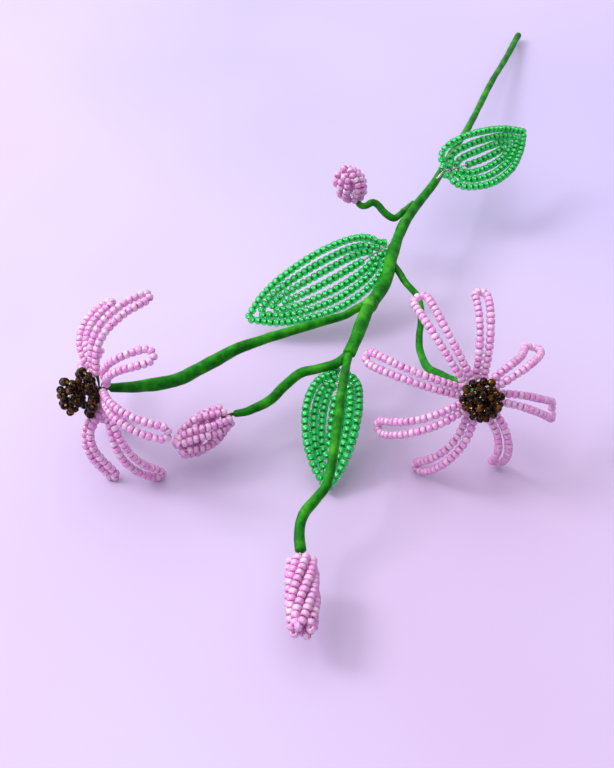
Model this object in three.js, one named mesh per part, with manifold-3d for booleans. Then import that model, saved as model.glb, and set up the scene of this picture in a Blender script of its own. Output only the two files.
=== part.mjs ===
// A beaded coneflower spray: two flowers, three buds and three leaves strung from glass beads
// on wire, bound to taped wire stems. It lies on a table with its front buds towards -Y.
// Millimetres, +Z up, with the origin under the middle of the spray at table height.
import * as THREE from "three";
import { mergeVertices } from "three/addons/utils/BufferGeometryUtils.js";
import Module from "manifold-3d";

// Driving dimensions. A strand is the round envelope of a row of strung beads.
const petalStrand = 1.8;
const leafStrand = 1.9;
const budStrand = 1.7;
const neckDiameter = 1.5; // twisted wire tails under a flower or bud
const leafWire = 0.7;
const strandSides = 6;
const stemSides = 8;
const leafRowPitch = 2.45;
const leafTipStep = 3.7;
const leafFootStep = 2.6;
const leafFootGap = 1.6; // half the space that a round leaves for the leaf's wire
const petalRing = 4.9; // radius at which the petal strands start
const petalStagger = 1.3; // every other petal starts this much lower
const originShift = new THREE.Vector3(-2.41, 3.52, 0.34); // centres the box of the spray on the origin

const finishes = {
  tape: new THREE.MeshStandardMaterial({ color: 0x1f8a10, roughness: 0.7, metalness: 0 }),
  wire: new THREE.MeshStandardMaterial({ color: 0xc9c2b0, roughness: 0.35, metalness: 1 }),
  pink: new THREE.MeshStandardMaterial({ color: 0xf3a6e3, roughness: 0.15, metalness: 0 }),
  green: new THREE.MeshStandardMaterial({ color: 0x00a63c, roughness: 0.15, metalness: 0.2 }),
  dark: new THREE.MeshStandardMaterial({ color: 0x3a2008, roughness: 0.15, metalness: 0.3 }),
};

// Taped stems: the route's points, and the diameters that are spread evenly along it.
const stems = {
  main_stem: {
    route: [[75, 136.5, 2], [66, 111, 5], [57, 87, 8], [45.5, 53, 12], [36.5, 30, 15], [29.8, 12, 17],
      [23.2, -1.5, 18], [18.3, -13, 19], [14.2, -27, 19], [12.5, -36, 19], [9.5, -44, 19],
      [6.5, -50, 19], [3.2, -60, 18], [0.8, -66.5, 17]],
    diameters: [2.8, 2.4, 2.4, 2.4, 2.5, 2.7, 3.3, 4.2, 3.6],
    steps: 30,
  },
  left_flower_stem: {
    route: [[3, -50.6, 19], [-1.4, -53.7, 19], [-14.2, -59.2, 19], [-27, -64.3, 18], [-34, -69.6, 18],
      [-42.3, -77.2, 19], [-50.6, -81.4, 20.7], [-59.1, -83, 21.6]],
    diameters: [1.2, 2.4, 2.6, 2.8, 3.5, 3.7, 3.6, 2.2],
    steps: 20,
  },
  right_flower_stem: {
    route: [[16.2, -34.2, 17.8], [17.6, -37.1, 17], [20.9, -41, 15], [21.6, -46.2, 12], [20.7, -52, 10.5],
      [20.7, -58.8, 10.5], [21.8, -66.3, 12.5], [25, -74, 16.5], [29.3, -80.8, 20],
      [31.1, -86.5, 22.6]],
    diameters: [1.2, 2, 2, 2.2, 2.6, 2.7, 2.4],
    steps: 20,
  },
  back_bud_stem: {
    route: [[20, -3.4, 18], [17.8, -7.1, 18.6], [15.7, -10.2, 19.5], [13, -9.2, 20.6], [11, -6.6, 21.6],
      [9.3, -5.9, 22], [7.4, -7.4, 21.9], [5.8, -7, 21.8], [4.7, -4.9, 22.2]],
    diameters: [1.2, 2, 2.2, 2.2, 2],
    steps: 16,
  },
  front_bud_stem: {
    route: [[0.5, -68.4, 17.2], [-0.9, -78.4, 18.6], [-2.4, -90.4, 18.4], [-3.8, -100.9, 17],
      [-5.3, -108, 15], [-8.1, -111.6, 13.4], [-10.9, -115, 12], [-11.8, -119.6, 11], [-11.4, -124.6, 10.3]],
    diameters: [2.3, 2.4, 2.4, 2.5, 2.7, 2.8],
    steps: 18,
  },
  left_bud_stem: {
    route: [[-2.2, -67.6, 15.4], [-7.7, -68.6, 14], [-11.8, -69, 13], [-15.7, -72.7, 12.2],
      [-19.5, -77.4, 11.6], [-24.6, -81, 11.4], [-28.9, -82.3, 11.5]],
    diameters: [1.4, 2.8, 2.9, 2.8, 2],
    steps: 12,
  },
};

// Petals: angle where the petal leaves the ring, angle of its tip, reach from the axis, drop
// behind the ring, how far it first arches forward, half the width of the loop near its tip, and how
// far the loop is turned about its own length.
const flowers = {
  left_flower: {
    centre: [-61.4, -84.1, 22],
    turn: -64,
    rise: 8,
    cone: { radius: 4.3, height: 10.4 },
    petals: [
      { from: 112, to: 112, reach: 21.5, drop: 15.8, arch: 1, half: 1.2, roll: 42 },
      { from: 157, to: 157, reach: 23.2, drop: 10.7, arch: 4, half: 1.3, roll: 50 },
      { from: 202, to: 200, reach: 25.2, drop: 8.5, arch: 2, half: 1.4, roll: 0 },
      { from: 247, to: 247, reach: 21, drop: 10, arch: 2, half: 1.5, roll: 0 },
      { from: 292, to: 295, reach: 23.6, drop: 1, arch: 9.5, half: 1.2, roll: -45 },
      { from: 337, to: 308, reach: 24.4, drop: 11.9, arch: 2, half: 1.6, roll: -45 },
      { from: 22, to: 7, reach: 22.6, drop: 9.8, arch: 2, half: 1.8, roll: -15 },
      { from: 67, to: 60, reach: 19.5, drop: 10.2, arch: 2, half: 1.9, roll: 0 },
    ],
  },
  right_flower: {
    centre: [31.4, -88.6, 24],
    turn: 9,
    rise: 33,
    cone: { radius: 3.3, height: 6.5 },
    petals: [
      { from: 118, to: 114, reach: 26.5, drop: 11, arch: 1.5, half: 2, roll: 0 },
      { from: 78, to: 80, reach: 24.6, drop: 8.9, arch: 1.5, half: 1.7, roll: 0 },
      { from: 36, to: 23, reach: 20.3, drop: 14.5, arch: 1.5, half: 2.3, roll: -50 },
      { from: 351, to: 340, reach: 23, drop: 9.6, arch: 1.5, half: 2.4, roll: -15 },
      { from: 303, to: 288, reach: 21.1, drop: 10.9, arch: 1.5, half: 1.5, roll: 30 },
      { from: 250, to: 234, reach: 23.7, drop: 12.2, arch: 1.5, half: 1.5, roll: 30 },
      { from: 204, to: 198, reach: 24.2, drop: 12.1, arch: 1.5, half: 1.8, roll: 20 },
      { from: 158, to: 156, reach: 27, drop: 11, arch: 1.5, half: 1.6, roll: 0 },
    ],
  },
};

// Leaves: foot and tip of the midrib, roll about it, how far the midrib bows up and sways to the
// left, how far the edges curl up, how wide the rows spread, how far the rows slant forward as they
// leave the foot, and where the wire leaves the stem.
const leaves = {
  left_leaf: {
    foot: [13.2, -20.8, 17.6], tip: [-27.5, -40, 6], roll: -40, bow: 2.5, sway: 1.5, curl: 1.6, width: 1.12,
    shoulder: 0.3, stem: [14, -20.4, 18],
  },
  front_leaf: {
    foot: [-1, -67.8, 13.2], tip: [-5, -99.3, 1.7], roll: 0, bow: 1.5, sway: -0.8, curl: 3.4, width: 0.88,
    shoulder: 0.3, stem: [-0.6, -66.6, 14.4],
  },
  back_leaf: {
    foot: [32, 13, 20], tip: [60.5, 34.2, 21.4], roll: 40, bow: 1, sway: -2.2, curl: 2.5, width: 1.12,
    shoulder: -0.3, stem: [30.9, 12.2, 18.9],
  },
};

// Buds: four loops each, bunched with a twist about a single row on the axis from the foot to the tip.
const buds = {
  back_bud: { foot: [4.3, -4.2, 23.8], tip: [0.4, -5.2, 32.6], belly: 4, twist: 75 },
  front_bud: { foot: [-11.2, -127.4, 10.3], tip: [-10.9, -145.4, 9.6], belly: 2.9, twist: 120 },
  left_bud: { foot: [-30.9, -82.9, 11.6], tip: [-42.6, -91.5, 7.6], belly: 3.8, twist: 95 },
};

// Twisted wire tails between a stem's end and what it carries.
const necks = {
  left_flower_neck: [[-59.5, -83.2, 21.7], [-61, -83.9, 21.9]],
  right_flower_neck: [[31.2, -87, 22.9], [31.3, -88.2, 23.7]],
  back_bud_neck: [[4.5, -4.4, 23.2], [4, -4.2, 25]],
  front_bud_neck: [[-11.4, -125.1, 10.3], [-11.2, -129.5, 10.2]],
  left_bud_neck: [[-29.3, -82.4, 11.5], [-32, -83.9, 11.1]],
};

const wasm = await Module();
wasm.setup();
const spray = new THREE.Group();
const degrees = THREE.MathUtils.degToRad;
const vector = (point) => new THREE.Vector3(...point);

function addPiece(name, geometry, material) {
  const mesh = new THREE.Mesh(geometry, material);
  mesh.name = name;
  spray.add(mesh);
}

// A tube of one diameter along smooth points.
function strand(points, diameter, steps) {
  const section = new THREE.Shape().absarc(0, 0, diameter / 2, 0, 2 * Math.PI);
  const path = new THREE.CatmullRomCurve3(points, false, "catmullrom", 0.5);
  const options = { steps, curveSegments: strandSides / 2, bevelEnabled: false, extrudePath: path };
  return new THREE.ExtrudeGeometry(section, options);
}

// A closed cylinder bent along smooth points, its diameter blended between the given ones.
function taperedTube(points, diameters, steps) {
  const path = new THREE.CatmullRomCurve3(points, false, "catmullrom", 0.5);
  const centres = path.getSpacedPoints(steps);
  const frames = path.computeFrenetFrames(steps, false);
  const tube = new THREE.CylinderGeometry(1, 1, 1, stemSides, steps);
  const place = tube.attributes.position;
  const spot = new THREE.Vector3();
  for (let i = 0; i < place.count; i++) {
    const ring = Math.round((place.getY(i) + 0.5) * steps);
    const along = (ring / steps) * (diameters.length - 1);
    const before = Math.min(Math.floor(along), diameters.length - 2);
    const radius = THREE.MathUtils.lerp(diameters[before], diameters[before + 1], along - before) / 2;
    spot.copy(centres[ring]);
    spot.addScaledVector(frames.normals[ring], radius * place.getX(i));
    spot.addScaledVector(frames.binormals[ring], -radius * place.getZ(i));
    place.setXYZ(i, spot.x, spot.y, spot.z);
  }
  return tube;
}

// A strand that goes out on one side of a middle line, round its end and back on the other side.
// middle(t) gives the line, side(t) the unit vector across it and half(t) half the width.
function loopPoints(middle, side, half, stations, turnStart) {
  const at = (t, share) => middle(t).addScaledVector(side(t), half(t) * share);
  const out = stations.map((t) => at(t, 1));
  const round = [30, 90, 150].map((angle) => {
    const t = turnStart + (1 - turnStart) * Math.sin(degrees(angle));
    return at(t, Math.cos(degrees(angle)));
  });
  const back = [...stations].reverse().map((t) => at(t, -1));
  return [...out, ...round, ...back];
}

// Stems
for (const [name, stem] of Object.entries(stems))
  addPiece(name, taperedTube(stem.route.map(vector), stem.diameters, stem.steps), finishes.tape);

for (const [name, ends] of Object.entries(necks))
  addPiece(name, taperedTube(ends.map(vector), [neckDiameter, neckDiameter], 2), finishes.wire);

// Flowers: the axis turns away from -Y about Z and rises above the table.
function flowerFrame({ centre, turn, rise }) {
  const a = degrees(turn);
  const e = degrees(rise);
  const axis = new THREE.Vector3(Math.sin(a) * Math.cos(e), -Math.cos(a) * Math.cos(e), Math.sin(e));
  const level = new THREE.Vector3(Math.cos(a), Math.sin(a), 0);
  const up = axis.clone().cross(level);
  const ring = (angle) =>
    level.clone().multiplyScalar(Math.cos(degrees(angle))).addScaledVector(up, Math.sin(degrees(angle)));
  const spot = (angle, reach, height) =>
    vector(centre).addScaledVector(ring(angle), reach).addScaledVector(axis, height);
  return { axis, level, up, ring, spot };
}

function petalGeometry(frame, petal, lower) {
  const turnOf = ((petal.to - petal.from + 540) % 360) - 180;
  const line = new THREE.CubicBezierCurve3(
    frame.spot(petal.from, petalRing, -lower),
    frame.spot(petal.from, petalRing + 0.35 * petal.reach, petal.arch - lower),
    frame.spot(petal.from + 0.8 * turnOf, 0.87 * petal.reach, -0.2 * petal.drop),
    frame.spot(petal.to, petal.reach, -petal.drop),
  );
  const side = (t) => {
    const across = frame.ring(petal.from + turnOf * t + 90);
    const turned = degrees(petal.roll) * Math.min(1, 2 * t);
    const front = line.getTangent(t).cross(across).normalize();
    return across.multiplyScalar(Math.cos(turned)).addScaledVector(front, Math.sin(turned));
  };
  const half = (t) => THREE.MathUtils.lerp(petalStrand / 2 + 0.1, petal.half, t);
  const points = loopPoints((t) => line.getPoint(t), side, half, [0, 0.2, 0.4, 0.6, 0.8], 0.9);
  return strand(points, petalStrand, 18);
}

// The cone: rings of small bead loops round a knot of wire, joined into one solid.
function solidOf(geometry) {
  geometry.deleteAttribute("normal");
  geometry.deleteAttribute("uv");
  const merged = mergeVertices(geometry, 1e-4);
  const vertProperties = merged.attributes.position.array;
  const triVerts = new Uint32Array(merged.index.array);
  return new wasm.Manifold(new wasm.Mesh({ numProp: 3, vertProperties, triVerts }));
}

function geometryOf(solid) {
  const { vertProperties, triVerts } = solid.getMesh();
  const geometry = new THREE.BufferGeometry();
  geometry.setAttribute("position", new THREE.BufferAttribute(vertProperties, 3));
  geometry.setIndex(new THREE.BufferAttribute(triVerts, 1));
  return geometry;
}

function coneGeometry(frame, { radius, height }) {
  const loopRadius = 1.9;
  const beadRadius = 0.95;
  const tiers = [
    { count: 6, reach: 0.92 * radius, lift: 2.3, lean: 62 },
    { count: 4, reach: 0.65 * radius, lift: 0.6 * height, lean: 40 },
    { count: 1, reach: 0, lift: 0.85 * height, lean: 90 },
  ];
  const knot = new THREE.CapsuleGeometry(0.6 * radius, 0.55 * height, 2, 7);
  const stand = new THREE.Quaternion().setFromUnitVectors(new THREE.Vector3(0, 1, 0), frame.axis);
  const middle = frame.spot(0, 0, 0.55 * height);
  let cone = solidOf(knot.applyQuaternion(stand).translate(...middle));
  tiers.forEach(({ count, reach, lift, lean }, tier) => {
    for (let i = 0; i < count; i++) {
      const angle = (360 * (i + 0.5 * tier)) / count;
      const outward = frame.ring(angle);
      const pointing = outward.clone().multiplyScalar(Math.sin(degrees(lean)));
      pointing.addScaledVector(frame.axis, Math.cos(degrees(lean)));
      const across = frame.ring(angle + 90);
      const facing = pointing.clone().cross(across);
      const basis = new THREE.Matrix4().makeBasis(pointing, across, facing);
      const loop = new THREE.TorusGeometry(loopRadius, beadRadius, 4, 7);
      loop.applyMatrix4(basis.setPosition(frame.spot(angle, reach, lift)));
      cone = cone.add(solidOf(loop));
    }
  });
  // Bubbles shut in between the loops are filled by keeping only the outer skin.
  const [skin] = cone.decompose().sort((a, b) => b.volume() - a.volume());
  return geometryOf(skin);
}

for (const [name, flower] of Object.entries(flowers)) {
  const frame = flowerFrame(flower);
  flower.petals.forEach((petal, i) =>
    addPiece(`${name}_petal_${i + 1}`, petalGeometry(frame, petal, (i % 2) * petalStagger), finishes.pink));
  addPiece(`${name}_cone`, coneGeometry(frame, flower.cone), finishes.dark);
}

// Leaves: a middle row and three rounds that pass on both sides and meet in a point.
function leafFrame({ foot, tip, roll, bow, sway, curl, width, shoulder }) {
  const start = vector(foot);
  const along = vector(tip).sub(start);
  const length = along.length();
  along.normalize();
  const level = new THREE.Vector3(-along.y, along.x, 0).normalize();
  const lifted = along.clone().cross(level);
  const across = level.clone().multiplyScalar(Math.cos(degrees(roll)));
  across.addScaledVector(lifted, Math.sin(degrees(roll)));
  const face = along.clone().cross(across);
  const widest = 3 * leafRowPitch * width;
  const spot = (distance, offset) => {
    const bend = Math.sin((Math.PI * distance) / length);
    const rise = bow * bend + curl * (offset / widest) ** 2;
    return start.clone().addScaledVector(along, distance).addScaledVector(across, offset + sway * bend)
      .addScaledVector(face, rise);
  };
  return { length, spot, width, shoulder };
}

function leafRound(frame, number) {
  const first = leafFootGap + (3 - number) * leafFootStep;
  const last = frame.length - (3 - number) * leafTipStep - leafStrand / 2;
  const reach = 1.3 * number * leafRowPitch * frame.width;
  const edge = new THREE.CubicBezierCurve(
    new THREE.Vector2(first, leafFootGap),
    new THREE.Vector2(first + frame.shoulder * reach, reach),
    new THREE.Vector2(last - 1.15 * reach, reach),
    new THREE.Vector2(last - 0.9, 0.9),
  );
  const outline = [0, 0.14, 0.3, 0.5, 0.7, 0.86, 1].map((t) => edge.getPoint(t));
  const out = outline.map((p) => frame.spot(p.x, p.y));
  const back = [...outline].reverse().map((p) => frame.spot(p.x, -p.y));
  return strand([...out, frame.spot(last, 0), ...back], leafStrand, 26);
}

for (const [name, leaf] of Object.entries(leaves)) {
  const frame = leafFrame(leaf);
  const rowStart = leafFootGap + 3 * leafFootStep;
  const rowEnd = frame.length - 3 * leafTipStep - leafStrand / 2;
  const rowSpots = (from, to) =>
    [0, 0.33, 0.67, 1].map((t) => frame.spot(THREE.MathUtils.lerp(from, to, t), 0));
  const wire = [vector(leaf.stem), ...rowSpots(1, rowStart - 0.3)];
  addPiece(`${name}_wire`, strand(wire, leafWire, 8), finishes.wire);
  addPiece(`${name}_centre_row`, strand(rowSpots(rowStart, rowEnd), leafStrand, 8), finishes.green);
  for (let number = 1; number <= 3; number++)
    addPiece(`${name}_round_${number}`, leafRound(frame, number), finishes.green);
}

// Buds: each loop runs up one side of the bunch and down beside itself.
function budLoop(bud, number) {
  const foot = vector(bud.foot);
  const axis = vector(bud.tip).sub(foot);
  const length = axis.length() - budStrand / 2;
  axis.normalize();
  const level = new THREE.Vector3(-axis.y, axis.x, 0).normalize();
  const lifted = axis.clone().cross(level);
  const ring = (angle) =>
    level.clone().multiplyScalar(Math.cos(degrees(angle))).addScaledVector(lifted, Math.sin(degrees(angle)));
  const angleAt = (t) => 90 * number + bud.twist * t;
  const middle = (t) => {
    const radius = 2.5 + (bud.belly - 2.5) * Math.sin(Math.PI * Math.min(1, 1.05 * t)) - 0.5 * t ** 6;
    return foot.clone().addScaledVector(axis, length * t).addScaledVector(ring(angleAt(t)), radius);
  };
  const side = (t) => ring(angleAt(t) + 90);
  const half = (t) => 0.95 + 0.2 * Math.sin(Math.PI * t);
  return strand(loopPoints(middle, side, half, [0, 0.2, 0.4, 0.6, 0.8], 0.86), budStrand, 13);
}

for (const [name, bud] of Object.entries(buds)) {
  const row = [0.3, 0.45, 0.6, 0.78].map((share) => vector(bud.foot).lerp(vector(bud.tip), share));
  addPiece(`${name}_centre_row`, strand(row, budStrand, 4), finishes.pink);
  for (let number = 1; number <= 4; number++)
    addPiece(`${name}_loop_${number}`, budLoop(bud, number), finishes.pink);
}

spray.position.copy(originShift);

export default spray;
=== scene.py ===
# A beaded coneflower spray lying on a pale table: glass seed beads strung on wire, with taped stems.
import math
import random

import bmesh
import bpy
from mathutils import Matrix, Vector, noise
from mathutils.geometry import interpolate_bezier


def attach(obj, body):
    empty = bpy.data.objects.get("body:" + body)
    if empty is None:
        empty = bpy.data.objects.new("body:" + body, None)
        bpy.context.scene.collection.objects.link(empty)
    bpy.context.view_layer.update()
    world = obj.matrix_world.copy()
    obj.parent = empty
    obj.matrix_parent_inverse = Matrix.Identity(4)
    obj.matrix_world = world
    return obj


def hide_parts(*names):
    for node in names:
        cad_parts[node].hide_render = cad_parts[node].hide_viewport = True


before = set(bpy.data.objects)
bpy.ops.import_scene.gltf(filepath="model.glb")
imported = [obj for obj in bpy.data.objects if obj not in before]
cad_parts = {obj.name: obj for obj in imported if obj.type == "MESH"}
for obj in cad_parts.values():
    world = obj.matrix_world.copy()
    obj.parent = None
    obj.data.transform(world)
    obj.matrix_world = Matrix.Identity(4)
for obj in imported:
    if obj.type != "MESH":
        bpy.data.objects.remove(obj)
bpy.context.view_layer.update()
print("frame loaded,", len(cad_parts), "nodes")

mm = 0.001
originShift = Vector((-2.41, 3.52, 0.34))  # moves the spray's own points to the middle of its box


def place(point):
    return (Vector(point) + originShift) * mm


def unit(vector):
    return vector.normalized()


def mix(start, end, share):
    return start + (end - start) * share


def newMaterial(name):
    material = bpy.data.materials.new(name)
    material.use_nodes = True
    nodes = material.node_tree.nodes
    return material, nodes, material.node_tree.links, nodes["Principled BSDF"]


def addRamp(nodes, stops):
    ramp = nodes.new("ShaderNodeValToRGB")
    band = ramp.color_ramp
    while len(band.elements) < len(stops):
        band.elements.new(0.5)
    for element, (position, colour) in zip(band.elements, stops):
        element.position = position
        element.color = (*colour, 1)
    return ramp


camera = {"place": (-10, -272.1, 212.1), "tilt": 45, "lens": 51, "sensor": 36}
studio = {  # lamp places in metres
    "keyFrom": (-0.66, 0.1, 0.64), "keyAim": (0, -0.03, 0.01), "keySize": 0.3, "keyPower": 4.4,
    "window": (-0.5, 0.3, 0.81),  # direction of the brightest part of the room
    "sky": [(0.35, (0.16, 0.16, 0.18)), (0.6, (0.42, 0.42, 0.46)), (0.84, (1.0, 1.0, 1.03)),
            (1, (1.7, 1.7, 1.7))],
    "skyStrength": 1.28,
}
table = {"size": 4.0, "pale": (0.53, 0.44, 0.67), "cool": (0.45, 0.39, 0.67), "warm": (0.52, 0.38, 0.6),
         "washScale": 3.2, "roughness": 0.55}


def makeCamera():
    lens = bpy.data.cameras.new("camera")
    lens.lens = camera["lens"]
    lens.sensor_width = camera["sensor"]
    lens.clip_start = 0.01
    eye = bpy.data.objects.new("camera", lens)
    eye.location = place(camera["place"])
    eye.rotation_euler = (math.radians(camera["tilt"]), 0, 0)
    bpy.context.scene.collection.objects.link(eye)
    bpy.context.scene.camera = eye


def makeKeyLight():
    lamp = bpy.data.lights.new("keyLight", "AREA")
    lamp.size = studio["keySize"]
    lamp.energy = studio["keyPower"]
    holder = bpy.data.objects.new("keyLight", lamp)
    holder.location = studio["keyFrom"]
    aim = Vector(studio["keyAim"]) - Vector(studio["keyFrom"])
    holder.rotation_euler = aim.to_track_quat("-Z", "Y").to_euler()
    bpy.context.scene.collection.objects.link(holder)


def makeRoom():
    world = bpy.data.worlds.new("studioWorld")
    world.use_nodes = True
    nodes = world.node_tree.nodes
    links = world.node_tree.links
    sky = nodes["Background"]
    sky.inputs["Strength"].default_value = studio["skyStrength"]
    around = nodes.new("ShaderNodeTexCoord")
    toWindow = nodes.new("ShaderNodeVectorMath")
    toWindow.operation = "DOT_PRODUCT"
    toWindow.inputs[1].default_value = unit(Vector(studio["window"]))
    share = nodes.new("ShaderNodeMapRange")
    share.inputs["From Min"].default_value = -1
    glow = addRamp(nodes, studio["sky"])
    links.new(around.outputs["Generated"], toWindow.inputs[0])
    links.new(toWindow.outputs["Value"], share.inputs["Value"])
    links.new(share.outputs["Result"], glow.inputs["Fac"])
    links.new(glow.outputs["Color"], sky.inputs["Color"])
    bpy.context.scene.world = world
    bpy.context.scene.view_settings.view_transform = "Standard"


makeCamera()
makeKeyLight()
makeRoom()
print("camera and studio ready")


beadTones = {
    "glintChanceShare": 0.55, "glintTo": 1.15,  # how far beads differ in painted glint, and the value at which one is all painted glint
    "sparkleScale": 2600, "sparkleFrom": 0.6, "sparkleTo": 0.66,  # small painted sparkle highlights
    "glossFrom": 0.04, "glossTo": 0.16,
}


def makeBeadToneGroup():
    # colour of one bead: a random share of painted glint with soft streaks, painted shade towards its ends
    # where it meets the next bead, and small painted sparkle highlights
    group = bpy.data.node_groups.new("beadTone", "ShaderNodeTree")
    for name in ("End Shade", "Body", "Glint"):
        group.interface.new_socket(name, in_out="INPUT", socket_type="NodeSocketColor")
    for name in ("Streak Scale", "Glint From", "Sparkle"):
        group.interface.new_socket(name, in_out="INPUT", socket_type="NodeSocketFloat")
    group.interface.new_socket("Color", in_out="OUTPUT", socket_type="NodeSocketColor")
    group.interface.new_socket("Roughness", in_out="OUTPUT", socket_type="NodeSocketFloat")
    nodes = group.nodes
    links = group.links
    given = nodes.new("NodeGroupInput")
    result = nodes.new("NodeGroupOutput")
    glintChance = nodes.new("ShaderNodeAttribute")
    glintChance.attribute_name = "beadGlintChance"
    ends = nodes.new("ShaderNodeAttribute")
    ends.attribute_name = "beadEndShadeMask"
    position = nodes.new("ShaderNodeTexCoord")
    streaks = nodes.new("ShaderNodeTexNoise")
    streaks.inputs["Detail"].default_value = 1
    links.new(position.outputs["Object"], streaks.inputs["Vector"])
    links.new(given.outputs["Streak Scale"], streaks.inputs["Scale"])
    own = nodes.new("ShaderNodeMath")
    own.operation = "MULTIPLY_ADD"
    own.inputs[1].default_value = beadTones["glintChanceShare"]
    links.new(glintChance.outputs["Fac"], own.inputs[0])
    links.new(streaks.outputs["Fac"], own.inputs[2])
    shade = nodes.new("ShaderNodeMapRange")
    links.new(given.outputs["Glint From"], shade.inputs["From Min"])
    shade.inputs["From Max"].default_value = beadTones["glintTo"]
    links.new(own.outputs[0], shade.inputs["Value"])
    # painted highlight: the body colour mixed towards the glint colour on random beads and along soft
    # streaks
    bright = nodes.new("ShaderNodeMix")
    bright.data_type = "RGBA"
    links.new(shade.outputs["Result"], bright.inputs["Factor"])
    links.new(given.outputs["Body"], bright.inputs["A"])
    links.new(given.outputs["Glint"], bright.inputs["B"])
    # painted shade: the colour darkened towards the bead's ends, where it meets the next bead
    endShaded = nodes.new("ShaderNodeMix")
    endShaded.data_type = "RGBA"
    links.new(ends.outputs["Fac"], endShaded.inputs["Factor"])
    links.new(bright.outputs["Result"], endShaded.inputs["A"])
    links.new(given.outputs["End Shade"], endShaded.inputs["B"])
    # painted highlight: small bright sparkles of the glint colour
    sparkleNoise = nodes.new("ShaderNodeTexNoise")
    sparkleNoise.inputs["Scale"].default_value = beadTones["sparkleScale"]
    sparkleNoise.inputs["Detail"].default_value = 0
    links.new(position.outputs["Object"], sparkleNoise.inputs["Vector"])
    lit = nodes.new("ShaderNodeMapRange")
    lit.inputs["From Min"].default_value = beadTones["sparkleFrom"]
    lit.inputs["From Max"].default_value = beadTones["sparkleTo"]
    links.new(sparkleNoise.outputs["Fac"], lit.inputs["Value"])
    links.new(given.outputs["Sparkle"], lit.inputs["To Max"])
    sparkled = nodes.new("ShaderNodeMix")
    sparkled.data_type = "RGBA"
    links.new(lit.outputs["Result"], sparkled.inputs["Factor"])
    links.new(endShaded.outputs["Result"], sparkled.inputs["A"])
    links.new(given.outputs["Glint"], sparkled.inputs["B"])
    gloss = nodes.new("ShaderNodeMapRange")
    gloss.inputs["To Min"].default_value = beadTones["glossFrom"]
    gloss.inputs["To Max"].default_value = beadTones["glossTo"]
    links.new(streaks.outputs["Fac"], gloss.inputs["Value"])
    links.new(sparkled.outputs["Result"], result.inputs["Color"])
    links.new(gloss.outputs["Result"], result.inputs["Roughness"])
    return group


beadTone = makeBeadToneGroup()


def makeBeadGlass(name, look):
    material, nodes, links, shader = newMaterial(name)
    tone = nodes.new("ShaderNodeGroup")
    tone.node_tree = beadTone
    for socket, colour in (("End Shade", "endShade"), ("Body", "body"), ("Glint", "glint")):
        tone.inputs[socket].default_value = (*look[colour], 1)
    plain = {"Streak Scale": "streakScale", "Glint From": "glintFrom", "Sparkle": "sparkle"}
    for socket, value in plain.items():
        tone.inputs[socket].default_value = look[value]
    links.new(tone.outputs["Color"], shader.inputs["Base Color"])
    links.new(tone.outputs["Roughness"], shader.inputs["Roughness"])
    shader.inputs["IOR"].default_value = 1.52  # soda glass
    shader.inputs["Specular IOR Level"].default_value = look["sheen"]
    shader.inputs["Transmission Weight"].default_value = look["clearness"]
    return material


def makeMetal(name, colour, look):
    # cloudy metal: wire, and the bright plating on the wall of a bead's hole, seen through the glass
    material, nodes, links, shader = newMaterial(name)
    position = nodes.new("ShaderNodeTexCoord")
    cloud = nodes.new("ShaderNodeTexNoise")
    cloud.inputs["Scale"].default_value = look["cloudScale"]
    links.new(position.outputs["Object"], cloud.inputs["Vector"])
    ramp = addRamp(nodes, [(0.3, [look["shade"] * part for part in colour]), (0.7, colour)])
    links.new(cloud.outputs["Fac"], ramp.inputs["Fac"])
    links.new(ramp.outputs["Color"], shader.inputs["Base Color"])
    shader.inputs["Metallic"].default_value = look["metal"]
    shader.inputs["Roughness"].default_value = look["roughness"]
    return material


def makeCrepe():
    # creases, blotches and the place across one wrap, shared by the tape and its paler cuffs
    group = bpy.data.node_groups.new("crepeCreases", "ShaderNodeTree")
    for name in ("Crease Scale", "Blotch Scale"):
        group.interface.new_socket(name, in_out="INPUT", socket_type="NodeSocketFloat")
    for name in ("Crease", "Seam", "Blotch"):
        group.interface.new_socket(name, in_out="OUTPUT", socket_type="NodeSocketFloat")
    nodes = group.nodes
    links = group.links
    given = nodes.new("NodeGroupInput")
    result = nodes.new("NodeGroupOutput")
    wrap = nodes.new("ShaderNodeUVMap")
    wrap.uv_map = "wrap"
    parts = nodes.new("ShaderNodeSeparateXYZ")
    links.new(wrap.outputs["UV"], parts.inputs["Vector"])
    turn = nodes.new("ShaderNodeMath")
    turn.operation = "ADD"
    links.new(parts.outputs["X"], turn.inputs[0])
    links.new(parts.outputs["Y"], turn.inputs[1])
    seam = nodes.new("ShaderNodeMath")
    seam.operation = "FRACT"
    links.new(turn.outputs[0], seam.inputs[0])
    position = nodes.new("ShaderNodeTexCoord")
    creases = nodes.new("ShaderNodeTexNoise")
    creases.inputs["Detail"].default_value = 4
    creases.inputs["Roughness"].default_value = 0.65
    creases.inputs["Distortion"].default_value = 0.6
    links.new(position.outputs["Object"], creases.inputs["Vector"])
    links.new(given.outputs["Crease Scale"], creases.inputs["Scale"])
    links.new(creases.outputs["Fac"], result.inputs["Crease"])
    blotches = nodes.new("ShaderNodeTexNoise")
    blotches.inputs["Detail"].default_value = 2
    links.new(given.outputs["Blotch Scale"], blotches.inputs["Scale"])
    links.new(position.outputs["Object"], blotches.inputs["Vector"])
    links.new(blotches.outputs["Fac"], result.inputs["Blotch"])
    links.new(seam.outputs[0], result.inputs["Seam"])
    return group


crepe = makeCrepe()


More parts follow.
